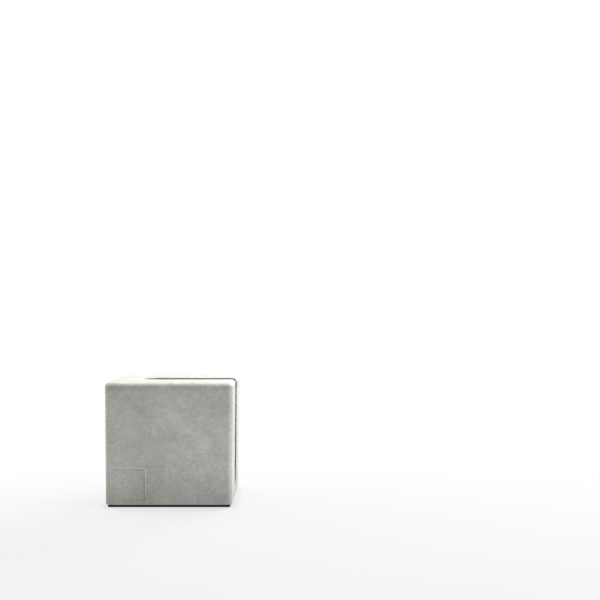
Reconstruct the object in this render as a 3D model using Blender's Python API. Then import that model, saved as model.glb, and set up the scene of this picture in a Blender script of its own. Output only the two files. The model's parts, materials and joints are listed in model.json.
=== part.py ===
# Floor bike stand: a cast concrete block with a deep slot, on a glued anti-slip pad.
#
# The slot opens on the top face and on the right-hand face (+X). Its floor is one arc between
# the two and is round in section, so that a bicycle rolls in from the right and is held upright
# between the slot's walls. Units are metres, +Z is up, and the origin is on the floor under the
# middle of the block.

import math

import bmesh
import bpy

# Cast block
TOP_WIDTH = 0.212
TOP_DEPTH = 0.212
BLOCK_HEIGHT = 0.202
WALL_DRAFT = math.radians(0.42)
UPRIGHT_EDGE_RADIUS = 0.008
TOP_EDGE_RADIUS = 0.0075
BASE_EDGE_RADIUS = 0.0026

# Slot: where it starts from the left on the top face, the concrete left under it on the
# right-hand face, and the radius that its floor follows between the two
SLOT_WIDTH = 0.045
SLOT_START = 0.0515
SLOT_SILL = 0.0167
SLOT_FLOOR_RADIUS = 0.360
SLOT_LIP_RADIUS = 0.0010

# Shallow square panel on the front face, with a low ridge round it that slopes down outwards
PANEL_SIZE = 0.051
PANEL_SIDE_MARGIN = 0.0148
PANEL_BASE_MARGIN = 0.0093
PANEL_DEPTH = 0.0005
PANEL_CORNER_RADIUS = 0.0035
RIDGE_HEIGHT = 0.0004
RIDGE_CREST_WIDTH = 0.0004
RIDGE_SLOPE_WIDTH = 0.0009

# Anti-slip pad under the block
PAD_THICKNESS = 0.0035
PAD_INSET = 0.0032
PAD_CORNER_RADIUS = 0.004
GLUE_LINE = 0.0003

# Fineness of the round surfaces
EDGE_SEGMENTS = 8
BASE_EDGE_SEGMENTS = 4
LIP_SEGMENTS = 3
CORNER_SEGMENTS = 5
SLOT_SECTION_SEGMENTS = 16
SLOT_FLOOR_STEPS = 26

# How far a cutter runs past the face it opens, and the steps that it turns past the slot's ends
CUTTER_OVERRUN = 0.005
CUTTER_EXTRA_STEPS = 4
CUTTER_CORE_RADIUS = 0.010

# Faces that turn by more than the arris angle meet at a sharp edge, and less than the flat angle
# is one flat face
ARRIS_ANGLE = math.radians(35)
SMOOTH_ANGLE = math.radians(30)
FLAT_ANGLE = math.radians(0.1)
SHORT_EDGE = 0.0003

BLOCK_BASE_Z = PAD_THICKNESS + GLUE_LINE
BLOCK_TOP_Z = BLOCK_BASE_Z + BLOCK_HEIGHT
WALL_LEAN = BLOCK_HEIGHT * math.tan(WALL_DRAFT)
BASE_WIDTH = TOP_WIDTH - 2 * WALL_LEAN
BASE_DEPTH = TOP_DEPTH - 2 * WALL_LEAN


def clear_scene():
    for obj in list(bpy.data.objects):
        bpy.data.objects.remove(obj, do_unlink=True)


def make_collection(name):
    collection = bpy.data.collections.new(name)
    bpy.context.scene.collection.children.link(collection)
    return collection


def make_material(name, color, roughness, metallic=0.0):
    material = bpy.data.materials.new(name)
    material.use_nodes = True
    shader = material.node_tree.nodes["Principled BSDF"]
    shader.inputs["Base Color"].default_value = (*color, 1.0)
    shader.inputs["Roughness"].default_value = roughness
    shader.inputs["Metallic"].default_value = metallic
    material.diffuse_color = (*color, 1.0)
    return material


def add_object(name, data, collection, parent, location=(0.0, 0.0, 0.0), rotation=(0.0, 0.0, 0.0)):
    obj = bpy.data.objects.new(name, data)
    collection.objects.link(obj)
    obj.parent = parent
    obj.location = location
    obj.rotation_euler = rotation
    return obj


def mark_as_tool(obj):
    obj.hide_render = True
    obj.display_type = "WIRE"


def evaluated_mesh(obj):
    depsgraph = bpy.context.evaluated_depsgraph_get()
    return bpy.data.meshes.new_from_object(obj.evaluated_get(depsgraph))


def apply_modifiers(obj):
    shaped = evaluated_mesh(obj)
    obj.modifiers.clear()
    obj.data = shaped


def combine(obj, tool, operation):
    boolean = obj.modifiers.new(tool.name, "BOOLEAN")
    boolean.operation = operation
    boolean.solver = "EXACT"
    boolean.object = tool


def shade(obj, material):
    obj.data.materials.clear()
    obj.data.materials.append(material)
    obj.data.shade_smooth()
    obj.data.set_sharp_from_angle(angle=SMOOTH_ANGLE)
    flat_faces = obj.modifiers.new("Flat faces", "WEIGHTED_NORMAL")
    flat_faces.keep_sharp = True


def box_mesh(name, bottom, top, low, high):
    # A box from z = low to z = high, whose bottom and top rectangles may differ in size
    bm = bmesh.new()
    bmesh.ops.create_cube(bm, size=1.0)
    for vert in bm.verts:
        size, z = (top, high) if vert.co.z > 0 else (bottom, low)
        vert.co = (vert.co.x * size[0], vert.co.y * size[1], z)
    mesh = bpy.data.meshes.new(name)
    bm.to_mesh(mesh)
    bm.free()
    return mesh


def upright(edge):
    return abs(edge.verts[0].co.z - edge.verts[1].co.z) > SHORT_EDGE


def level_at(height):
    # Picks the edges that lie at that height
    def picked(edge):
        return all(abs(vert.co.z - height) < SHORT_EDGE for vert in edge.verts)

    return picked


def round_edges(mesh, picked, radius, segments):
    # Rounds the mesh's edges that picked chooses
    bm = bmesh.new()
    bm.from_mesh(mesh)
    bmesh.ops.bevel(
        bm,
        geom=[edge for edge in bm.edges if picked(edge)],
        offset=radius,
        offset_type="OFFSET",
        segments=segments,
        profile=0.5,
        affect="EDGES",
        clamp_overlap=True,
    )
    bm.to_mesh(mesh)
    bm.free()


def slot_ends():
    # The lowest line of the slot's floor, as (x, z) where it meets the top face and the right face
    start = (-TOP_WIDTH / 2 + SLOT_START, BLOCK_TOP_Z)
    sill = (BASE_WIDTH / 2 + SLOT_SILL * math.tan(WALL_DRAFT), BLOCK_BASE_Z + SLOT_SILL)
    return start, sill


def slot_centre():
    # The centre of the arc that runs through both ends of the slot's floor
    start, sill = slot_ends()
    run = sill[0] - start[0]
    drop = start[1] - sill[1]
    chord = math.hypot(run, drop)
    rise = math.sqrt(SLOT_FLOOR_RADIUS**2 - (chord / 2) ** 2)
    x = (start[0] + sill[0]) / 2 + rise * drop / chord
    z = (start[1] + sill[1]) / 2 + rise * run / chord
    return x, z


def slot_section():
    # Half of a disc's section in the (radius, y) plane: flat sides and a fully round rim
    half = SLOT_WIDTH / 2
    points = [(CUTTER_CORE_RADIUS, half)]
    for step in range(SLOT_SECTION_SEGMENTS + 1):
        angle = math.pi / 2 - math.pi * step / SLOT_SECTION_SEGMENTS
        points.append((SLOT_FLOOR_RADIUS - half + half * math.cos(angle), half * math.sin(angle)))
    points.append((CUTTER_CORE_RADIUS, -half))
    return points


def make_slot_cutter(collection, parent):
    # The sector of a thick disc that lies in the block, spun about the disc's centre
    start, sill = slot_ends()
    centre = slot_centre()
    first = math.atan2(start[1] - centre[1], start[0] - centre[0])
    last = math.atan2(sill[1] - centre[1], sill[0] - centre[0])
    step = (last - first) / SLOT_FLOOR_STEPS
    first -= step * (CUTTER_EXTRA_STEPS + 0.5)
    steps = SLOT_FLOOR_STEPS + 2 * CUTTER_EXTRA_STEPS + 1
    bm = bmesh.new()
    verts = []
    for radius, y in slot_section():
        verts.append(bm.verts.new((radius * math.cos(first), y, radius * math.sin(first))))
    face = bm.faces.new(verts)
    geometry = [face, *face.edges, *face.verts]
    bmesh.ops.spin(
        bm, geom=geometry, cent=(0.0, 0.0, 0.0), axis=(0.0, -1.0, 0.0), angle=step * steps, steps=steps
    )
    bmesh.ops.recalc_face_normals(bm, faces=bm.faces)
    mesh = bpy.data.meshes.new("slot_cutter")
    bm.to_mesh(mesh)
    bm.free()
    cutter = add_object("slot_cutter", mesh, collection, parent, location=(centre[0], 0.0, centre[1]))
    mark_as_tool(cutter)
    return cutter


def sharp(edge):
    return edge.calc_face_angle(0.0) > ARRIS_ANGLE


def round_slot_mouth(mesh):
    # Rounds the arris where the slot breaks through the faces, which is the only sharp one yet
    bm = bmesh.new()
    bm.from_mesh(mesh)
    bmesh.ops.dissolve_limit(bm, angle_limit=FLAT_ANGLE, verts=bm.verts, edges=bm.edges)
    near = [vert for vert in bm.verts if abs(vert.co.y) < SLOT_WIDTH]
    bmesh.ops.remove_doubles(bm, verts=near, dist=SHORT_EDGE)
    bm.to_mesh(mesh)
    bm.free()
    round_edges(mesh, sharp, SLOT_LIP_RADIUS, LIP_SEGMENTS)


def panel_frame():
    # Where the panel's middle lies on the leaning front face, and the turn that faces it outwards
    x = -BASE_WIDTH / 2 + PANEL_SIDE_MARGIN + PANEL_SIZE / 2
    height = PANEL_BASE_MARGIN + PANEL_SIZE / 2
    y = -BASE_DEPTH / 2 - height * math.tan(WALL_DRAFT)
    return (x, y, BLOCK_BASE_Z + height), (math.pi / 2 + WALL_DRAFT, 0.0, 0.0)


def make_panel_cutter(collection, parent):
    size = (PANEL_SIZE, PANEL_SIZE)
    mesh = box_mesh("panel_cutter", size, size, -PANEL_DEPTH, CUTTER_OVERRUN)
    round_edges(mesh, upright, PANEL_CORNER_RADIUS, CORNER_SEGMENTS)
    location, rotation = panel_frame()
    cutter = add_object("panel_cutter", mesh, collection, parent, location, rotation)
    mark_as_tool(cutter)
    return cutter


def make_ridge(collection, parent):
    # A flat pyramid's lower part, as deep under the front face as it stands out of it
    crest = PANEL_SIZE + 2 * RIDGE_CREST_WIDTH
    foot = crest + 4 * RIDGE_SLOPE_WIDTH
    mesh = box_mesh("ridge", (foot, foot), (crest, crest), -RIDGE_HEIGHT, RIDGE_HEIGHT)
    round_edges(mesh, upright, PANEL_CORNER_RADIUS + RIDGE_CREST_WIDTH, CORNER_SEGMENTS)
    location, rotation = panel_frame()
    ridge = add_object("ridge", mesh, collection, parent, location, rotation)
    mark_as_tool(ridge)
    return ridge


def make_concrete_block(collection, tools, parent):
    mesh = box_mesh(
        "concrete_block", (BASE_WIDTH, BASE_DEPTH), (TOP_WIDTH, TOP_DEPTH), 0.0, BLOCK_HEIGHT
    )
    round_edges(mesh, upright, UPRIGHT_EDGE_RADIUS, EDGE_SEGMENTS)
    round_edges(mesh, level_at(BLOCK_HEIGHT), TOP_EDGE_RADIUS, EDGE_SEGMENTS)
    round_edges(mesh, level_at(0.0), BASE_EDGE_RADIUS, BASE_EDGE_SEGMENTS)
    block = add_object("concrete_block", mesh, collection, parent, location=(0.0, 0.0, BLOCK_BASE_Z))
    combine(block, make_slot_cutter(tools, parent), "DIFFERENCE")
    apply_modifiers(block)
    round_slot_mouth(block.data)
    combine(block, make_ridge(tools, parent), "UNION")
    combine(block, make_panel_cutter(tools, parent), "DIFFERENCE")
    apply_modifiers(block)
    shade(block, make_material("fair_faced_concrete", (0.35, 0.35, 0.325), 0.75))
    return block


def make_base_pad(collection, parent):
    size = (BASE_WIDTH - 2 * PAD_INSET, BASE_DEPTH - 2 * PAD_INSET)
    mesh = box_mesh("base_pad", size, size, 0.0, PAD_THICKNESS)
    round_edges(mesh, upright, PAD_CORNER_RADIUS, CORNER_SEGMENTS)
    pad = add_object("base_pad", mesh, collection, parent)
    shade(pad, make_material("black_rubber", (0.02, 0.02, 0.02), 0.9))
    return pad


def main():
    clear_scene()
    parts = make_collection("floor_bike_stand")
    tools = make_collection("cutters_and_guides")
    origin = bpy.data.objects.new("stand_origin", None)
    parts.objects.link(origin)
    make_concrete_block(parts, tools, origin)
    make_base_pad(parts, origin)


main()
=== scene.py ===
# Looks of the floor bike stand: a cast concrete block with a slot, on a black rubber pad.
#
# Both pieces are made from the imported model's own solids, so that every size and place is the
# frame's. The block then gets the air holes and chipped arrises of a real casting. Units are
# metres, or millimetres where a name ends in MM. +Z is up, and object coordinates in the materials
# are metres too.

import json
import math
import random

import bmesh
import bpy
from mathutils import Matrix, Vector
from mathutils.bvhtree import BVHTree


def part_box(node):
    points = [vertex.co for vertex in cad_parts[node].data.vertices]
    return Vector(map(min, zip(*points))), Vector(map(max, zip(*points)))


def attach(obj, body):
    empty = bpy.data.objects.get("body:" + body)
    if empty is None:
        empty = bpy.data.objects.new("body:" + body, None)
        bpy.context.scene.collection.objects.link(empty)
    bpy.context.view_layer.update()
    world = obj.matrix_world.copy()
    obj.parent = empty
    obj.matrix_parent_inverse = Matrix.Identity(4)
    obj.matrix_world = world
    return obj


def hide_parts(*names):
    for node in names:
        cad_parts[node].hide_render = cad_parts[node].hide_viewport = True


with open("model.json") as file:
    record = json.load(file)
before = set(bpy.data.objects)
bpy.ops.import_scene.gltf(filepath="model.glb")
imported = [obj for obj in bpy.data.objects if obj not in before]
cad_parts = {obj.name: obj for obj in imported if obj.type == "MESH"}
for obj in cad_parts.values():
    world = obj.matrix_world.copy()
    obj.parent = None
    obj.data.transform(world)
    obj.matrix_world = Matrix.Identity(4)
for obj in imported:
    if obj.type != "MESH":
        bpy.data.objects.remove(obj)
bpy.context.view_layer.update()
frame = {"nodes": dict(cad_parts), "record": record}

MM_PER_METRE = 1000

# The block's box, and half the slot's width, which the mount on the slot's back wall gives
BLOCK_LOW, BLOCK_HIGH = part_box("concrete_block")
MOUNT_PLACES = {mount["name"]: mount["pos_m"] for mount in frame["record"]["mounts"]}
SLOT_HALF = MOUNT_PLACES["slot_wall_back"][1]

# The arc of the slot's floor: its middle's x and z, and its radius
SLOT_AXLE = (0.2820, 0.3338)
SLOT_ARC = 0.360

# Camera, level and square to the front face, to the right of the block as in the photograph. Its
# lens and its sensor are in millimetres.
CAMERA_PLACE = (0.21704, -2.042, 0.34257)
CAMERA_LENS = 70.42
SENSOR_WIDTH = 36.0

# Studio: a white backdrop all round up to the first of two heights, as the Z of a direction, and
# from the second one up a ceiling that is dimmer towards the front, between two Ys of a direction
BACKDROP = (0.22, 0.45)
CEILING_TURN = (-0.6, 0.2)
CEILING_FRONT = 0.40
CEILING_BACK = 1.10

# Softboxes: what they all face, and the name, place, size and watts of each
LIGHT_TARGET = (0.0, 0.0, 0.1)
SOFTBOXES = [
    ("softbox_top", (0.0, 0.6, 1.6), 1.0, 16.0),
    ("softbox_right", (1.2, -0.3, 1.1), 0.6, 20.0),
    ("softbox_left", (-1.5, 0.2, 0.6), 0.8, 6.0),
    ("softbox_back", (0.75, 1.6, 0.8), 0.8, 40.0),
]

# Floor: a dim table that glows by itself and fades to pure white between two distances from its
# middle
FLOOR_SIZE = 12.0
FLOOR_COLOUR = (0.090, 0.090, 0.092, 1.0)
FLOOR_ROUGHNESS = 0.9
FLOOR_GLOW = 0.748
FLOOR_TINT = (0.98, 0.98, 1.0, 1.0)
FLOOR_MIDDLE = (0.3, -0.75, 0.0)
FLOOR_FADE = (0.50, 1.30)
WHITE = (1.0, 1.0, 1.0, 1.0)

# Contact shadow: how dim the floor's glow is at the block's foot, how far it stays dimmed to the
# front and back, and how many times less far to the sides
CONTACT_TONE = 0.84
CONTACT_REACH = 0.060
CONTACT_SIDE = 5.0

# Most values of a noise lie between these two
NOISE_SPAN = (0.3, 0.7)

# The concrete's two hues, and the patches in which it drifts from one to the other. A span is the
# range of a noise's values in which its patches rise from nothing to their full strength.
CONCRETE_WARM = (0.3765, 0.3660, 0.3325, 1.0)
CONCRETE_GREEN = (0.3625, 0.3680, 0.3375, 1.0)
HUE_PATCH = 0.045
HUE_SPAN = (0.38, 0.62)

# The concrete's roughness, from patch to patch, and how much is added to it: in pinholes and on
# rubbed edges, and in the slot at least
CONCRETE_ROUGHNESS = (0.40, 0.56)
ROUGHNESS_PATCH = 0.010
PINHOLE_ROUGHER = 0.2
RUBBED_ROUGHER = 0.12
SLOT_ROUGHER = 0.35

# How dark or pale the marks and the slot are, as factors on the concrete's tone
DARK_GRAIN_TONE = 0.80
PALE_GRAIN_TONE = 1.15
# Painted shade in the pinholes
PINHOLE_SHADE_TONE = 0.45
RUBBED_TONE = 1.07
# Painted shade in the slot, and partly in the tyres' stain at its mouth
SLOT_SHADE_TONE = 0.86
TYRE_MARK_AND_SHADE_TONE = 0.42
# Painted highlight and painted shade on the slopes of the panel's ridge
RIDGE_HIGHLIGHT_TONE = 1.40
RIDGE_SHADE_TONE = 0.85
# Painted shade, with some dirt, in the air holes and chips; painted shade at the foot
FLAW_SHADE_TONE = 0.62
FOOT_SHADE_TONE = 0.79

# Layers of the concrete's tone, from clouds to grain: size, noise detail and how far the tone strays,
# with one span and one distortion for all
CLOUD_LAYERS = [
    (0.0900, 2.0, 0.090),
    (0.0280, 2.0, 0.065),
    (0.0065, 4.0, 0.075),
    (0.0022, 3.0, 0.085),
]
CLOUD_SPAN = (0.28, 0.72)
CLOUD_DISTORTION = 0.4

# Soft clouds that the photograph shows on the front face, as x, z, radius and tone
FRONT_CLOUDS = [
    (-0.0481, 0.1606, 0.012, 0.93),
    (0.0814, 0.1936, 0.016, 0.93),
    (-0.0885, 0.1970, 0.018, 0.94),
    (0.0140, 0.0275, 0.026, 0.92),
    (0.0599, 0.0320, 0.024, 0.93),
    (-0.0044, 0.1425, 0.034, 1.05),
    (0.0500, 0.0950, 0.030, 1.04),
    (-0.0450, 0.1750, 0.060, 0.87),
    (-0.1000, 0.1400, 0.034, 1.10),
    (-0.1000, 0.0950, 0.034, 1.08),
    # This paler cloud lessens the painted shade at the foot on the left
    (-0.0850, 0.0060, 0.034, 1.07),
    (0.0720, 0.1320, 0.050, 1.09),
    (-0.0450, 0.1070, 0.024, 1.06),
    (0.0100, 0.0865, 0.024, 0.92),
    (-0.0176, 0.1600, 0.022, 0.95),
    (0.0286, 0.1660, 0.018, 1.05),
]

# The share of a cloud's radius that has its full tone, how far its ragged outline strays, and the
# scale of the noise that makes it ragged
CLOUD_CORE = 0.2
CLOUD_STRAY = 0.016
CLOUD_RAGGED_SCALE = 90.0

# Grains of sand: the size of the cells that hold one each, where a grain's edge begins and ends, and
# the random values between which a cell's grain turns dark or pale
SAND_CELL = 0.0012
SAND_EDGE = (0.00022, 0.00042)
DARK_SAND = (0.80, 0.92)
PALE_SAND = (0.84, 0.96)

# Pinholes, too small to be cut: the size of the cells that hold one each, the random values between
# which they grow from the smallest radius to the largest, and half the width of their soft edge
PINHOLE_CELL = 0.0042
PINHOLE_GROWTH = (0.50, 1.0)
PINHOLE_RADIUS = (0.00004, 0.00034)
PINHOLE_BLUR = 0.00008

# How far the slot's mask reaches into the concrete from its walls and from its floor, where it takes
# in the arris at the floor's ends, the depth over which it grows, and half its soft edge's width
MASK_REACH = (0.0003, 0.0010)
MASK_GROWTH = 0.010
MASK_BLUR = 0.0002

# Scuffs of tyres: their width, how many times longer they are along the arc, the size of the
# patches that they come in, and how strong they are between two distances from the arc's middle
SCUFF_WIDTH = 0.0035
SCUFF_SPAN = (0.48, 0.64)
SCUFF_STRETCH = 4
SCUFF_PATCH = 0.020
SCUFF_PATCH_SPAN = (0.42, 0.60)
SCUFF_RADII = (0.24, 0.35)
SCUFF_STRENGTH = (0.20, 0.80)

# The stain where the wheel rolls in, partly painted shade at the slot's mouth: where it sets in, as
# an x from the arc's middle, how far its end strays, and how strong it is at least
STAIN_AND_SHADE_START = (-0.205, -0.180)
STAIN_AND_SHADE_STRAY = 0.006
STAIN_AND_SHADE_LEAST = 0.8

# The lit tops of the slot's walls, free of its painted shade: heights and distances from the arc's
# middle
SLOT_LIT_HEIGHT = (-0.142, -0.130)
SLOT_LIT_RADIUS = (0.335, 0.310)

# Rubbed edges: the size of the patches, how much is rubbed between them, and the range in which the
# largest part of a normal tells a rounded edge from a flat face
RUBBED_PATCH = 0.006
RUBBED_SPAN = (0.35, 0.65)
RUBBED_LEAST = 0.25
RUBBED_TURN = (0.80, 0.985)

# Painted highlight and painted shade on the panel's ridge: the way that its lit slopes face, how
# squarely they have to, and how many millimetres the ridge's slopes stand out of the front face
RIDGE_LIT_SIDE = (0.6, 0.0, 1.0)
RIDGE_LIT_TURN = (0.02, 0.40)
RIDGE_FADE_MM = (0.02, 0.06)

# Painted shade, with some dirt, in air holes and chips grows between these two depths
FLAW_SHADE_FADE_MM = (0.02, 0.60)

# Painted shade at the foot: how high it reaches, how far its edge strays, and the size of the strays
FOOT_SHADE_HEIGHT = 0.070
FOOT_SHADE_STRAY = 0.006
FOOT_SHADE_PATCH = 0.012

# Bands of painted shade under the rim, as the depths where each begins and is full, and by how much
# it darkens; they fade between two values of the normal's Z, so that the top face has none
RIM_SHADE_BANDS = [
    (0.020, 0.005, 0.15),
    (0.050, 0.020, 0.05),
]
RIM_SHADE_TURN = (0.1, 0.5)

# Relief of the concrete: the mould's waves, the skin's grain and the roughness of rubbed edges, each
# with its size and its height in millimetres, and the depth of the pinholes
WAVE_SIZE = 0.012
WAVE_HEIGHT_MM = 0.08
SKIN_SIZE = 0.0008
SKIN_HEIGHT_MM = 0.045
RUBBED_GRAIN = 0.0016
RUBBED_HEIGHT_MM = 0.10
PINHOLE_DEPTH_MM = 0.2

# The pad's rubber, its roughness from patch to patch, and its paler patches
RUBBER_COLOUR = (0.0080, 0.0080, 0.0083, 1.0)
RUBBER_SPECULAR = 0.15
RUBBER_ROUGHNESS = (0.60, 0.85)
RUBBER_ROUGH_PATCH = 0.003
PALE_PATCH = 0.015
PALE_SPAN = (0.45, 0.75)
PALE_TONE = 1.5

# Relief of the rubber: the size, the tones and the slope of its dimples, in millimetres of height for
# each metre from their middles, and the size and the height of its grain
DIMPLE_SIZE = 0.0013
DIMPLE_TONES = (0.75, 1.35)
DIMPLE_SLOPE_MM = 120.0
RUBBER_GRAIN = 0.0004
RUBBER_GRAIN_MM = 0.06

# Welding the solids, and where their shading breaks
WELD = 0.00001
FLAT_ANGLE = math.radians(0.1)
SHARP_ANGLE = math.radians(40)
RIDGE_SHARP_ANGLE = math.radians(15)

# How far the pad's cut edges are eased, and in how many steps
PAD_EASE = 0.0005
PAD_EASE_SEGMENTS = 3

# Air holes: how many, their radii, their width, height and depth under the surface in radii, and how
# uneven they are
SEED = 1729
LARGE_HOLES = 70
LARGE_HOLE_RADIUS = (0.00050, 0.00105)
SMALL_HOLES = 380
SMALL_HOLE_RADIUS = (0.00025, 0.00045)
HOLE_WIDTH = (0.75, 1.0)
HOLE_HEIGHT = (0.8, 1.1)
HOLE_DEPTH = 0.25
HOLE_JITTER = 0.10

# The surface has to be level round an air hole: the ring that is tested, in radii of the hole, how
# many points it has, and how far the surface may stray there, in radii of the ring
LEVEL_RING = 1.6
LEVEL_POINTS = 8
LEVEL_STRAY = 0.12

# The air holes that the photograph shows on the front face, as x, z and radius, and the y in front
# of the block from which each is aimed
FRONT_HOLES = [
    (0.0427, 0.1417, 0.0010),
    (0.0394, 0.1194, 0.0008),
    (-0.0340, 0.1656, 0.0009),
    (-0.0456, 0.1293, 0.0008),
]
AIM_FROM = -1.0

# Chips along the slot's mouth and the base: how many, their radii, their length, height and lift in
# radii, and how uneven they are
CHIPS = 18
CHIP_RADIUS = (0.0005, 0.0012)
CHIP_LENGTH = (1.2, 1.9)
CHIP_HEIGHT = 0.7
CHIP_LIFT = 0.15
CHIP_JITTER = 0.22

# Where chips may be: how near to the slot's walls, and to the top, the right face or the base
CHIP_WALL_REACH = 0.0025
CHIP_FACE_REACH = 0.003

# The clear distance between two holes or chips
FLAW_GAP = 0.0006

# Limits for a normal: the largest part of it on a rounded edge, its z on the underside, and its y
# on the front face
ROUNDED_PART = 0.93
UNDERSIDE_Z = -0.5
FRONT_Y = -0.9

# Point attributes, in millimetres: how deep a hole or chip is, and how far the panel's ridge stands
# out of the front face; and how far an edge of the ridge does at least
DEPTH = "depth_mm"
PROUD = "proud_mm"
RIDGE_LEAST_MM = 0.05


class Nodes:
    """Builds a node tree. An input may be a number, a colour or another node's output."""

    def __init__(self, tree):
        self.tree = tree
        tree.nodes.clear()

    def feed(self, socket, value):
        if isinstance(value, bpy.types.NodeSocket):
            self.tree.links.new(value, socket)
        else:
            socket.default_value = value

    def add(self, kind, inputs=None, **settings):
        node = self.tree.nodes.new(kind)
        for name, value in settings.items():
            setattr(node, name, value)
        for name, value in (inputs or {}).items():
            self.feed(node.inputs[name], value)
        return node

    def place(self):
        """The place on the object."""
        return self.add("ShaderNodeTexCoord").outputs["Object"]

    def normal(self):
        return self.add("ShaderNodeNewGeometry").outputs["Normal"]

    def attribute(self, name):
        return self.add("ShaderNodeAttribute", attribute_name=name).outputs["Fac"]

    def math(self, operation, a, b=0.0, c=0.0, clamp=False):
        node = self.add("ShaderNodeMath", {0: a, 1: b, 2: c}, operation=operation, use_clamp=clamp)
        return node.outputs[0]

    def scaled(self, value, by):
        return self.math("MULTIPLY", value, by)

    def opposite(self, mask):
        """0 where the mask is 1, and 1 where it is 0."""
        return self.math("SUBTRACT", 1.0, mask)

    def remap(self, value, low, high, to_low=0.0, to_high=1.0, smooth=True):
        inputs = {"Value": value, "From Min": low, "From Max": high, "To Min": to_low, "To Max": to_high}
        kind = "SMOOTHSTEP" if smooth else "LINEAR"
        return self.add("ShaderNodeMapRange", inputs, interpolation_type=kind).outputs["Result"]

    def toned(self, tone, mask, factor):
        """The tone, times the factor where the mask is 1."""
        return self.scaled(tone, self.remap(mask, 0.0, 1.0, 1.0, factor, smooth=False))

    def vector(self, operation, a, b=(0.0, 0.0, 0.0), c=(0.0, 0.0, 0.0)):
        node = self.add("ShaderNodeVectorMath", {0: a, 1: b, 2: c}, operation=operation)
        return node.outputs["Vector"]

    def measure(self, operation, a, b=(0.0, 0.0, 0.0)):
        """A number from one or two vectors: a length, a distance or a dot product."""
        return self.add("ShaderNodeVectorMath", {0: a, 1: b}, operation=operation).outputs["Value"]

    def split(self, vector):
        """The vector's X, Y and Z."""
        return self.add("ShaderNodeSeparateXYZ", {0: vector}).outputs

    def joined(self, x, y, z=0.0):
        return self.add("ShaderNodeCombineXYZ", {0: x, 1: y, 2: z}).outputs[0]

    def mix(self, factor, a, b, blend="MIX"):
        node = self.add("ShaderNodeMix", data_type="RGBA", blend_type=blend)
        for socket, value in ((node.inputs[0], factor), (node.inputs[6], a), (node.inputs[7], b)):
            self.feed(socket, value)
        return node.outputs[2]

    def noise(self, vector, size, detail=2.0, roughness=0.5, distortion=0.0):
        """Noise whose features are about size metres across."""
        inputs = {
            "Vector": vector,
            "Scale": 1.0 / size,
            "Detail": detail,
            "Roughness": roughness,
            "Distortion": distortion,
        }
        return self.add("ShaderNodeTexNoise", inputs).outputs["Fac"]

    def patches(self, vector, size, span, low=0.0, high=1.0, **settings):
        """Patches about size metres across, from low to high over the span of the noise's values."""
        return self.remap(self.noise(vector, size, **settings), *span, low, high)

    def cells(self, vector, size):
        """Cells about size metres across: distance from their middles, and random red and green."""
        node = self.add("ShaderNodeTexVoronoi", {"Vector": vector, "Scale": 1.0 / size})
        split = self.add("ShaderNodeSeparateColor", {0: node.outputs["Color"]})
        distance = self.math("MULTIPLY", node.outputs["Distance"], size)
        return distance, split.outputs["Red"], split.outputs["Green"]


def make_material(name):
    material = bpy.data.materials.new(name)
    material.use_nodes = True
    return material, Nodes(material.node_tree)


def finish_material(nodes, colour, tone, roughness, relief, specular=0.5):
    """The shader: colour times tone, and relief in millimetres as bump."""
    shade = nodes.add("ShaderNodeCombineColor", {"Red": tone, "Green": tone, "Blue": tone})
    toned = nodes.mix(1.0, colour, shade.outputs["Color"], "MULTIPLY")
    bump = nodes.add("ShaderNodeBump", {"Height": relief, "Distance": 1 / MM_PER_METRE, "Strength": 1.0})
    inputs = {
        "Base Color": toned,
        "Roughness": roughness,
        "Specular IOR Level": specular,
        "Normal": bump.outputs["Normal"],
    }
    shader = nodes.add("ShaderNodeBsdfPrincipled", inputs)
    nodes.add("ShaderNodeOutputMaterial", {"Surface": shader.outputs["BSDF"]})


def clouded(nodes, place, tone):
    """Clouds, blotches, mottling and grain, each finer than the one before."""
    for size, detail, spread in CLOUD_LAYERS:
        noise = nodes.noise(place, size, detail, distortion=CLOUD_DISTORTION)
        tone = nodes.scaled(tone, nodes.remap(noise, *CLOUD_SPAN, 1.0 - spread, 1.0 + spread))
    return tone


def front_clouded(nodes, place, tone):
    """The clouds seen on the front face, with ragged outlines."""
    inputs = {"Vector": place, "Scale": CLOUD_RAGGED_SCALE, "Detail": 4.0}
    noise = nodes.add("ShaderNodeTexNoise", inputs)
    stray = (CLOUD_STRAY, CLOUD_STRAY, CLOUD_STRAY)
    ragged = nodes.vector("MULTIPLY_ADD", noise.outputs["Color"], stray, place)
    for x, z, radius, level in FRONT_CLOUDS:
        middle = (x + CLOUD_STRAY / 2, BLOCK_LOW[1] + CLOUD_STRAY / 2, z + CLOUD_STRAY / 2)
        distance = nodes.measure("DISTANCE", ragged, middle)
        tone = nodes.scaled(tone, nodes.remap(distance, CLOUD_CORE * radius, radius, level, 1.0))
    return tone


def sanded(nodes, place, tone):
    """Single dark and pale grains of sand."""
    distance, red, green = nodes.cells(place, SAND_CELL)
    grain = nodes.remap(distance, *SAND_EDGE, 1.0, 0.0)
    dark = nodes.scaled(grain, nodes.remap(red, *DARK_SAND))
    pale = nodes.scaled(grain, nodes.remap(green, *PALE_SAND))
    return nodes.toned(nodes.toned(tone, dark, DARK_GRAIN_TONE), pale, PALE_GRAIN_TONE)


def pinholes(nodes, place):
    """1 inside the pinholes, 0 outside. Half of them have the smallest radius."""
    distance, red, _ = nodes.cells(place, PINHOLE_CELL)
    radius = nodes.remap(red, *PINHOLE_GROWTH, *PINHOLE_RADIUS, smooth=False)
    return nodes.remap(nodes.math("SUBTRACT", distance, radius), -PINHOLE_BLUR, PINHOLE_BLUR, 1.0, 0.0)


def slot_places(nodes, place):
    """The distance from the middle of the slot's arc, and the x, y and z from there."""
    spoke = nodes.vector("SUBTRACT", place, (SLOT_AXLE[0], 0.0, SLOT_AXLE[1]))
    x, y, z = nodes.split(spoke)
    return nodes.measure("LENGTH", nodes.joined(x, 0.0, z)), x, y, z


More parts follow.
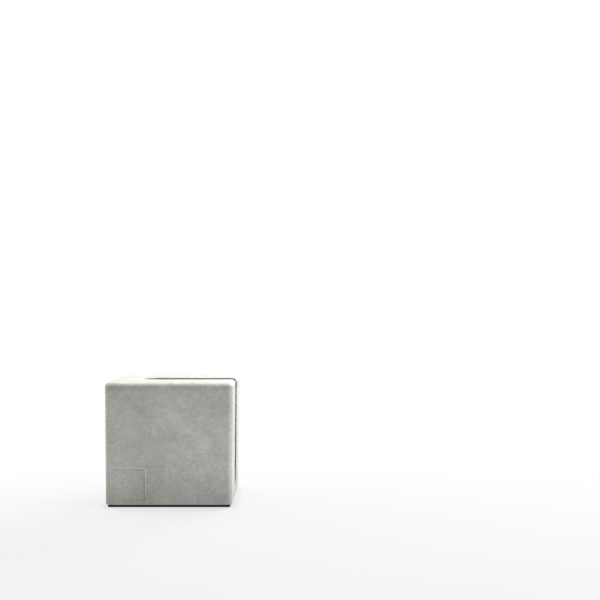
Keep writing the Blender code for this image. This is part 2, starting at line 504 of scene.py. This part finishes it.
def in_slot(nodes, radius, y):
    """1 on the slot's walls and on its half round floor with the arris at its ends, 0 elsewhere."""
    below = nodes.math("MAXIMUM", nodes.math("SUBTRACT", radius, SLOT_ARC - SLOT_HALF), 0.0)
    from_middle = nodes.measure("LENGTH", nodes.joined(below, y))
    reach = nodes.remap(below, 0.0, MASK_GROWTH, *MASK_REACH)
    past = nodes.math("SUBTRACT", from_middle, reach)
    return nodes.remap(past, SLOT_HALF - MASK_BLUR, SLOT_HALF + MASK_BLUR, 1.0, 0.0)


def rubbed(nodes, place, normal, slot):
    """1 where the rounded edges are rubbed, 0 on flat faces and where slot is 1."""
    x, y, z = nodes.split(nodes.vector("ABSOLUTE", normal))
    flattest = nodes.math("MAXIMUM", nodes.math("MAXIMUM", x, y), z)
    edge = nodes.remap(flattest, *RUBBED_TURN, 1.0, 0.0)
    patchy = nodes.patches(place, RUBBED_PATCH, RUBBED_SPAN, RUBBED_LEAST, 1.0, detail=4.0)
    return nodes.scaled(nodes.scaled(edge, nodes.opposite(slot)), patchy)


def tyre_marks_and_shade(nodes, place, radius, x, y, z):
    """Scuffs along the arc, in patches and denser on its floor, and a stain where the wheel rolls in,
    partly painted shade at the slot's mouth.
    """
    along = nodes.scaled(nodes.math("ARCTAN2", z, x), SLOT_ARC / SCUFF_STRETCH)
    path = nodes.joined(radius, y, along)
    ragged = {"detail": 6.0, "roughness": 0.65, "distortion": 0.6}
    scuffs = nodes.patches(path, SCUFF_WIDTH, SCUFF_SPAN, **ragged)
    blotchy = {"detail": 4.0, "roughness": 0.6, "distortion": 0.8}
    patches = nodes.patches(place, SCUFF_PATCH, SCUFF_PATCH_SPAN, **blotchy)
    strength = nodes.remap(radius, *SCUFF_RADII, *SCUFF_STRENGTH)
    marks = nodes.scaled(nodes.scaled(scuffs, patches), strength)
    stray = nodes.scaled(nodes.math("SUBTRACT", patches, 1.0), STAIN_AND_SHADE_STRAY)
    mouth = nodes.remap(nodes.math("ADD", x, stray), *STAIN_AND_SHADE_START)
    stain_and_shade = nodes.scaled(mouth, nodes.remap(scuffs, 0.0, 1.0, STAIN_AND_SHADE_LEAST, 1.0))
    return nodes.math("MAXIMUM", marks, stain_and_shade)


def slot_marked_and_shaded(nodes, place, slot, places, tone):
    """The slot's walls, darker than the rest with painted shade but for their lit tops, with the marks
    of tyres.
    """
    radius, x, y, z = places
    lit_tops = nodes.scaled(nodes.remap(z, *SLOT_LIT_HEIGHT), nodes.remap(radius, *SLOT_LIT_RADIUS))
    shaded_slot = nodes.scaled(slot, nodes.opposite(lit_tops))
    marks = nodes.scaled(tyre_marks_and_shade(nodes, place, radius, x, y, z), shaded_slot)
    return nodes.toned(nodes.toned(tone, shaded_slot, SLOT_SHADE_TONE), marks, TYRE_MARK_AND_SHADE_TONE)


def ridge_lit_and_shaded(nodes, normal, tone):
    """Painted highlight on the ridge's slopes that face up and to the right, and painted shade on those
    that face down.
    """
    facing = nodes.measure("DOT_PRODUCT", normal, RIDGE_LIT_SIDE)
    lit_slopes = nodes.remap(facing, *RIDGE_LIT_TURN, 1.0, RIDGE_HIGHLIGHT_TONE)
    shaded_slopes = nodes.remap(facing, -RIDGE_LIT_TURN[1], -RIDGE_LIT_TURN[0], RIDGE_SHADE_TONE, 1.0)
    change = nodes.math("SUBTRACT", nodes.scaled(lit_slopes, shaded_slopes), 1.0)
    ridge = nodes.remap(nodes.attribute(PROUD), *RIDGE_FADE_MM)
    return nodes.scaled(tone, nodes.math("MULTIPLY_ADD", change, ridge, 1.0))


def rim_shaded(nodes, normal, height, tone):
    """Painted shade, a little darker just under the rounded rim."""
    below = nodes.math("SUBTRACT", BLOCK_HIGH[2], height)
    bands = [nodes.remap(below, start, full, 0.0, loss) for start, full, loss in RIM_SHADE_BANDS]
    level = nodes.remap(nodes.split(normal)["Z"], *RIM_SHADE_TURN)
    rim = nodes.scaled(nodes.math("ADD", *bands), nodes.opposite(level))
    return nodes.scaled(tone, nodes.opposite(rim))


def concrete_roughness(nodes, place, pinhole, edge, slot):
    roughness = nodes.patches(place, ROUGHNESS_PATCH, NOISE_SPAN, *CONCRETE_ROUGHNESS, detail=3.0)
    pinhole_rougher = nodes.scaled(pinhole, PINHOLE_ROUGHER)
    rougher = nodes.math("ADD", pinhole_rougher, nodes.scaled(edge, RUBBED_ROUGHER))
    rougher = nodes.math("MAXIMUM", rougher, nodes.scaled(slot, SLOT_ROUGHER))
    return nodes.math("ADD", roughness, rougher, clamp=True)


def concrete_relief(nodes, place, pinhole, edge):
    """Millimetres: the mould's slight waves, the skin's grain, rough edges and the pinholes."""
    wave = nodes.scaled(nodes.noise(place, WAVE_SIZE), WAVE_HEIGHT_MM)
    skin = nodes.scaled(nodes.noise(place, SKIN_SIZE, detail=3.0, roughness=0.6), SKIN_HEIGHT_MM)
    rough = nodes.scaled(nodes.noise(place, RUBBED_GRAIN, detail=3.0), edge)
    rough = nodes.scaled(rough, RUBBED_HEIGHT_MM)
    relief = nodes.math("ADD", nodes.math("ADD", wave, skin), rough)
    return nodes.math("ADD", relief, nodes.scaled(pinhole, -PINHOLE_DEPTH_MM))


def concrete_material():
    material, nodes = make_material("cast_concrete")
    place = nodes.place()
    normal = nodes.normal()
    places = slot_places(nodes, place)
    slot = in_slot(nodes, places[0], places[2])
    pinhole = pinholes(nodes, place)
    edge = rubbed(nodes, place, normal, slot)

    tone = sanded(nodes, place, front_clouded(nodes, place, clouded(nodes, place, 1.0)))
    # Painted shade in the pinholes
    tone = nodes.toned(tone, pinhole, PINHOLE_SHADE_TONE)
    tone = nodes.toned(tone, edge, RUBBED_TONE)
    tone = slot_marked_and_shaded(nodes, place, slot, places, tone)
    tone = ridge_lit_and_shaded(nodes, normal, tone)

    # Painted shade, with some dirt, in the air holes and the chips, darker the deeper
    tone = nodes.scaled(tone, nodes.remap(nodes.attribute(DEPTH), *FLAW_SHADE_FADE_MM, 1.0, FLAW_SHADE_TONE))

    # Painted shade at the foot, darker towards the floor, with a ragged upper edge
    foot_shade_stray = nodes.noise(place, FOOT_SHADE_PATCH, detail=3.0)
    foot_shade_stray = nodes.remap(foot_shade_stray, *NOISE_SPAN, -FOOT_SHADE_STRAY, FOOT_SHADE_STRAY, smooth=False)
    height = nodes.math("ADD", nodes.split(place)["Z"], foot_shade_stray)
    tone = nodes.scaled(tone, nodes.remap(height, 0.0, FOOT_SHADE_HEIGHT, FOOT_SHADE_TONE, 1.0))
    tone = rim_shaded(nodes, normal, height, tone)

    colour = nodes.mix(nodes.patches(place, HUE_PATCH, HUE_SPAN), CONCRETE_WARM, CONCRETE_GREEN)
    roughness = concrete_roughness(nodes, place, pinhole, edge, slot)
    finish_material(nodes, colour, tone, roughness, concrete_relief(nodes, place, pinhole, edge))
    return material


def rubber_material():
    material, nodes = make_material("black_rubber")
    place = nodes.place()
    dimple, red, _ = nodes.cells(place, DIMPLE_SIZE)
    tone = nodes.remap(red, 0.0, 1.0, *DIMPLE_TONES, smooth=False)
    tone = nodes.scaled(tone, nodes.patches(place, PALE_PATCH, PALE_SPAN, 1.0, PALE_TONE, detail=4.0))
    roughness = nodes.patches(place, RUBBER_ROUGH_PATCH, NOISE_SPAN, *RUBBER_ROUGHNESS, detail=3.0)
    grain = nodes.scaled(nodes.noise(place, RUBBER_GRAIN, detail=3.0), RUBBER_GRAIN_MM)
    relief = nodes.math("ADD", nodes.scaled(dimple, DIMPLE_SLOPE_MM), grain)
    finish_material(nodes, RUBBER_COLOUR, tone, roughness, relief, RUBBER_SPECULAR)
    return material


def contact_shadow(nodes, place):
    """The floor's tone near the block: lowest at its foot, 1 further out."""
    x, y, _ = nodes.split(nodes.vector("ABSOLUTE", place))
    before = nodes.math("MAXIMUM", nodes.math("SUBTRACT", y, BLOCK_HIGH[1]), 0.0)
    edge = nodes.math("SUBTRACT", BLOCK_HIGH[0], before)
    beside = nodes.math("MAXIMUM", nodes.math("SUBTRACT", x, edge), 0.0)
    way = nodes.measure("LENGTH", nodes.joined(nodes.scaled(beside, CONTACT_SIDE), before))
    return nodes.remap(way, 0.0, CONTACT_REACH, CONTACT_TONE, 1.0, smooth=False)


def floor_material():
    material, nodes = make_material("pale_floor")
    place = nodes.place()
    far = nodes.remap(nodes.measure("DISTANCE", place, FLOOR_MIDDLE), *FLOOR_FADE)
    inputs = {
        "Base Color": FLOOR_COLOUR,
        "Roughness": FLOOR_ROUGHNESS,
        "Specular IOR Level": 0.0,
        "Emission Color": FLOOR_TINT,
        "Emission Strength": nodes.scaled(contact_shadow(nodes, place), FLOOR_GLOW),
    }
    near = nodes.add("ShaderNodeBsdfPrincipled", inputs).outputs["BSDF"]
    white = nodes.add("ShaderNodeEmission", {"Color": WHITE, "Strength": 1.0}).outputs[0]
    mixed = nodes.add("ShaderNodeMixShader", {0: far, 1: near, 2: white})
    nodes.add("ShaderNodeOutputMaterial", {"Surface": mixed.outputs["Shader"]})
    return material


def make_floor():
    mesh = bpy.data.meshes.new("floor")
    bm = bmesh.new()
    bmesh.ops.create_grid(bm, x_segments=1, y_segments=1, size=FLOOR_SIZE / 2)
    bm.to_mesh(mesh)
    bm.free()
    mesh.materials.append(floor_material())
    floor = bpy.data.objects.new("floor", mesh)
    bpy.context.scene.collection.objects.link(floor)


def make_room():
    world = bpy.data.worlds.new("studio")
    world.use_nodes = True
    nodes = Nodes(world.node_tree)
    way = nodes.split(nodes.add("ShaderNodeTexCoord").outputs["Generated"])
    ceiling = nodes.remap(way["Y"], *CEILING_TURN, CEILING_FRONT - 1.0, CEILING_BACK - 1.0)
    strength = nodes.math("MULTIPLY_ADD", ceiling, nodes.remap(way["Z"], *BACKDROP), 1.0)
    light = nodes.add("ShaderNodeBackground", {"Color": WHITE, "Strength": strength})
    nodes.add("ShaderNodeOutputWorld", {"Surface": light.outputs["Background"]})
    bpy.context.scene.world = world


def make_softbox(name, place, size, power):
    lamp = bpy.data.lights.new(name, "AREA")
    lamp.shape = "SQUARE"
    lamp.size = size
    lamp.energy = power
    obj = bpy.data.objects.new(name, lamp)
    obj.location = place
    obj.rotation_euler = (Vector(LIGHT_TARGET) - Vector(place)).to_track_quat("-Z", "Y").to_euler()
    bpy.context.scene.collection.objects.link(obj)


def make_camera():
    lens = bpy.data.cameras.new("camera")
    lens.lens = CAMERA_LENS
    lens.sensor_width = SENSOR_WIDTH
    camera = bpy.data.objects.new("camera", lens)
    camera.location = CAMERA_PLACE
    camera.rotation_euler = (math.pi / 2, 0.0, 0.0)
    bpy.context.scene.collection.objects.link(camera)
    bpy.context.scene.camera = camera


def mesh_from(bm, name):
    """A mesh of bm's points and faces alone, without the custom normals that it may carry."""
    bm.verts.index_update()
    mesh = bpy.data.meshes.new(name)
    faces = [[vert.index for vert in face.verts] for face in bm.faces]
    mesh.from_pydata([vert.co.copy() for vert in bm.verts], [], faces)
    return mesh


def welded(node):
    """A bmesh of a CAD node, its triangles joined into one closed surface."""
    bm = bmesh.new()
    bm.from_mesh(node.data)
    bmesh.ops.remove_doubles(bm, verts=bm.verts, dist=WELD)
    bmesh.ops.dissolve_limit(bm, angle_limit=FLAT_ANGLE, verts=bm.verts, edges=bm.edges)
    return bm


def add_piece(name, mesh):
    obj = bpy.data.objects.new(name, mesh)
    bpy.context.scene.collection.objects.link(obj)
    return obj


def apply_modifiers(obj):
    depsgraph = bpy.context.evaluated_depsgraph_get()
    mesh = bpy.data.meshes.new_from_object(obj.evaluated_get(depsgraph))
    obj.modifiers.clear()
    obj.data = mesh


def shade(obj, material, more_sharp=None):
    """Smooth over the rounded edges, sharp at cut ones, with flat faces kept flat."""
    obj.data.materials.clear()
    obj.data.materials.append(material)
    obj.data.shade_smooth()
    obj.data.set_sharp_from_angle(angle=SHARP_ANGLE)
    if more_sharp:
        more_sharp(obj.data)
    weighted = obj.modifiers.new("Flat faces", "WEIGHTED_NORMAL")
    weighted.mode = "FACE_AREA"
    weighted.keep_sharp = True
    apply_modifiers(obj)


def random_point(triangles, areas, rng):
    """A random point on the triangles, every part of their area as likely, and its normal."""
    corners, normal = rng.choices(triangles, weights=areas)[0]
    a, b = rng.random(), rng.random()
    if a + b > 1.0:
        a, b = 1.0 - a, 1.0 - b
    return corners[0] + (corners[1] - corners[0]) * a + (corners[2] - corners[0]) * b, normal


def even_round(tree, point, normal, reach):
    """True if the surface stays level, or nearly, as far as reach from point."""
    side = normal.orthogonal().normalized() * reach
    lift = 2 * reach
    for step in range(LEVEL_POINTS):
        offset = Matrix.Rotation(math.tau / LEVEL_POINTS * step, 3, normal) @ side
        hit = tree.ray_cast(point + offset + normal * lift, -normal)
        if hit[0] is None or abs(hit[3] - lift) > LEVEL_STRAY * reach:
            return False
    return True


class Flaws:
    """Irregular balls to cut out of the block, all clear of each other."""

    def __init__(self, rng):
        self.rng = rng
        self.bm = bmesh.new()
        self.taken = []

    def add(self, middle, normal, scale, jitter):
        """Adds a ball whose third axis lies along normal, unless it would come near another."""
        reach = max(scale) * (1 + jitter)
        if any((middle - other).length < reach + size + FLAW_GAP for other, size in self.taken):
            return False
        self.taken.append((middle, reach))
        turn = normal.to_track_quat("Z", "Y").to_matrix().to_4x4()
        spin = Matrix.Rotation(self.rng.uniform(0, math.tau), 4, "Z")
        place = Matrix.Translation(middle) @ turn @ spin @ Matrix.Diagonal((*scale, 1.0))
        ball = bmesh.ops.create_icosphere(self.bm, subdivisions=2, radius=1.0, matrix=place)
        for vert in ball["verts"]:
            vert.co = middle + (vert.co - middle) * (1 + self.rng.uniform(-jitter, jitter))
        return True

    def add_air_hole(self, point, normal, radius):
        middle = point - normal * radius * HOLE_DEPTH
        width = radius * self.rng.uniform(*HOLE_WIDTH)
        height = radius * self.rng.uniform(*HOLE_HEIGHT)
        return self.add(middle, normal, (radius, width, height), HOLE_JITTER)

    def add_chip(self, point, normal, radius):
        middle = point + normal * radius * CHIP_LIFT
        scale = (radius * self.rng.uniform(*CHIP_LENGTH), radius, radius * CHIP_HEIGHT)
        return self.add(middle, normal, scale, CHIP_JITTER)


def listed_triangles(mesh, wanted):
    """The corners and normals of the mesh's triangles that wanted picks, and their areas."""
    triangles = []
    areas = []
    mesh.calc_loop_triangles()
    for triangle in mesh.loop_triangles:
        corners = [mesh.vertices[i].co.copy() for i in triangle.vertices]
        normal = triangle.normal.copy()
        if wanted(sum(corners, Vector()) / 3, normal):
            triangles.append((corners, normal))
            areas.append(triangle.area)
    return triangles, areas


def add_air_holes(flaws, mesh, tree):
    """The holes seen on the front face, then random ones over all but the underside."""
    for x, z, radius in FRONT_HOLES:
        hit = tree.ray_cast(Vector((x, AIM_FROM, z)), Vector((0.0, 1.0, 0.0)))
        flaws.add_air_hole(hit[0], hit[1], radius)
    triangles, areas = listed_triangles(mesh, lambda middle, normal: normal.z > UNDERSIDE_Z)
    for count, (low, high) in ((LARGE_HOLES, LARGE_HOLE_RADIUS), (SMALL_HOLES, SMALL_HOLE_RADIUS)):
        made = 0
        while made < count:
            point, normal = random_point(triangles, areas, flaws.rng)
            radius = low + (high - low) * flaws.rng.random() ** 2
            if even_round(tree, point, normal, LEVEL_RING * radius):
                made += flaws.add_air_hole(point, normal, radius)


def chips_at(middle, normal):
    """True on the rounded arris of the slot's mouth and on the edge round the base."""
    rounded = max(abs(value) for value in normal) < ROUNDED_PART
    near_walls = abs(abs(middle.y) - SLOT_HALF) < CHIP_WALL_REACH
    near_faces = min(BLOCK_HIGH[0] - middle.x, BLOCK_HIGH[2] - middle.z) < CHIP_FACE_REACH
    near_base = middle.z < BLOCK_LOW[2] + CHIP_FACE_REACH
    return rounded and (near_walls and near_faces or near_base)


def add_chips(flaws, mesh):
    """Small bites out of the slot's mouth and out of the edge round the base."""
    triangles, areas = listed_triangles(mesh, chips_at)
    made = 0
    while made < CHIPS:
        point, normal = random_point(triangles, areas, flaws.rng)
        made += flaws.add_chip(point, normal, flaws.rng.uniform(*CHIP_RADIUS))


def note_depths(mesh, tree):
    """Keeps how deep each point lies under the cast surface, in millimetres, for the material."""
    depths = mesh.attributes.new(DEPTH, "FLOAT", "POINT")
    found = [tree.find_nearest(vert.co)[3] * MM_PER_METRE for vert in mesh.vertices]
    depths.data.foreach_set("value", found)


def note_ridge(mesh):
    """Keeps how far each point stands out of the front face, which only the ridge does."""
    front = max((face for face in mesh.polygons if face.normal.y < FRONT_Y), key=lambda face: face.area)
    normal = front.normal.copy()
    middle = front.center.copy()
    proud = mesh.attributes.new(PROUD, "FLOAT", "POINT")
    heights = [(vert.co - middle).dot(normal) * MM_PER_METRE for vert in mesh.vertices]
    proud.data.foreach_set("value", [max(height, 0.0) for height in heights])


def sharpen_ridge(mesh):
    """Marks as sharp the edges where the slopes of the panel's ridge begin and end."""
    bm = bmesh.new()
    bm.from_mesh(mesh)
    proud = bm.verts.layers.float[PROUD]
    for edge in bm.edges:
        height = max(vert[proud] for face in edge.link_faces for vert in face.verts)
        if height > RIDGE_LEAST_MM and edge.calc_face_angle(0.0) > RIDGE_SHARP_ANGLE:
            edge.smooth = False
    bm.to_mesh(mesh)
    bm.free()


def make_block():
    """The cast block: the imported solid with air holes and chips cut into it."""
    bm = welded(frame["nodes"]["concrete_block"])
    tree = BVHTree.FromBMesh(bm)
    mesh = mesh_from(bm, "block")
    bm.free()
    flaws = Flaws(random.Random(SEED))
    add_air_holes(flaws, mesh, tree)
    add_chips(flaws, mesh)
    cutter = add_piece("flaws", mesh_from(flaws.bm, "flaws"))
    flaws.bm.free()
    block = add_piece("block", mesh)
    boolean = block.modifiers.new("Flaws", "BOOLEAN")
    boolean.operation = "DIFFERENCE"
    boolean.solver = "EXACT"
    boolean.object = cutter
    apply_modifiers(block)
    bpy.data.objects.remove(cutter, do_unlink=True)
    note_depths(block.data, tree)
    note_ridge(block.data)
    shade(block, concrete_material(), sharpen_ridge)
    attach(block, "root")
    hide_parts("concrete_block")


def make_pad():
    """The rubber pad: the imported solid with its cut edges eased."""
    bm = welded(frame["nodes"]["base_pad"])
    rims = [edge for edge in bm.edges if abs(edge.verts[0].co.z - edge.verts[1].co.z) < WELD]
    ease = {"offset": PAD_EASE, "segments": PAD_EASE_SEGMENTS, "profile": 0.5}
    bmesh.ops.bevel(bm, geom=rims, affect="EDGES", **ease)
    pad = add_piece("pad", mesh_from(bm, "pad"))
    bm.free()
    shade(pad, rubber_material())
    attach(pad, "root")
    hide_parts("base_pad")


def main():
    make_camera()
    make_floor()
    make_room()
    for name, place, size, power in SOFTBOXES:
        make_softbox(name, place, size, power)
    make_block()
    make_pad()
    bpy.context.scene.view_settings.view_transform = "Standard"


main()
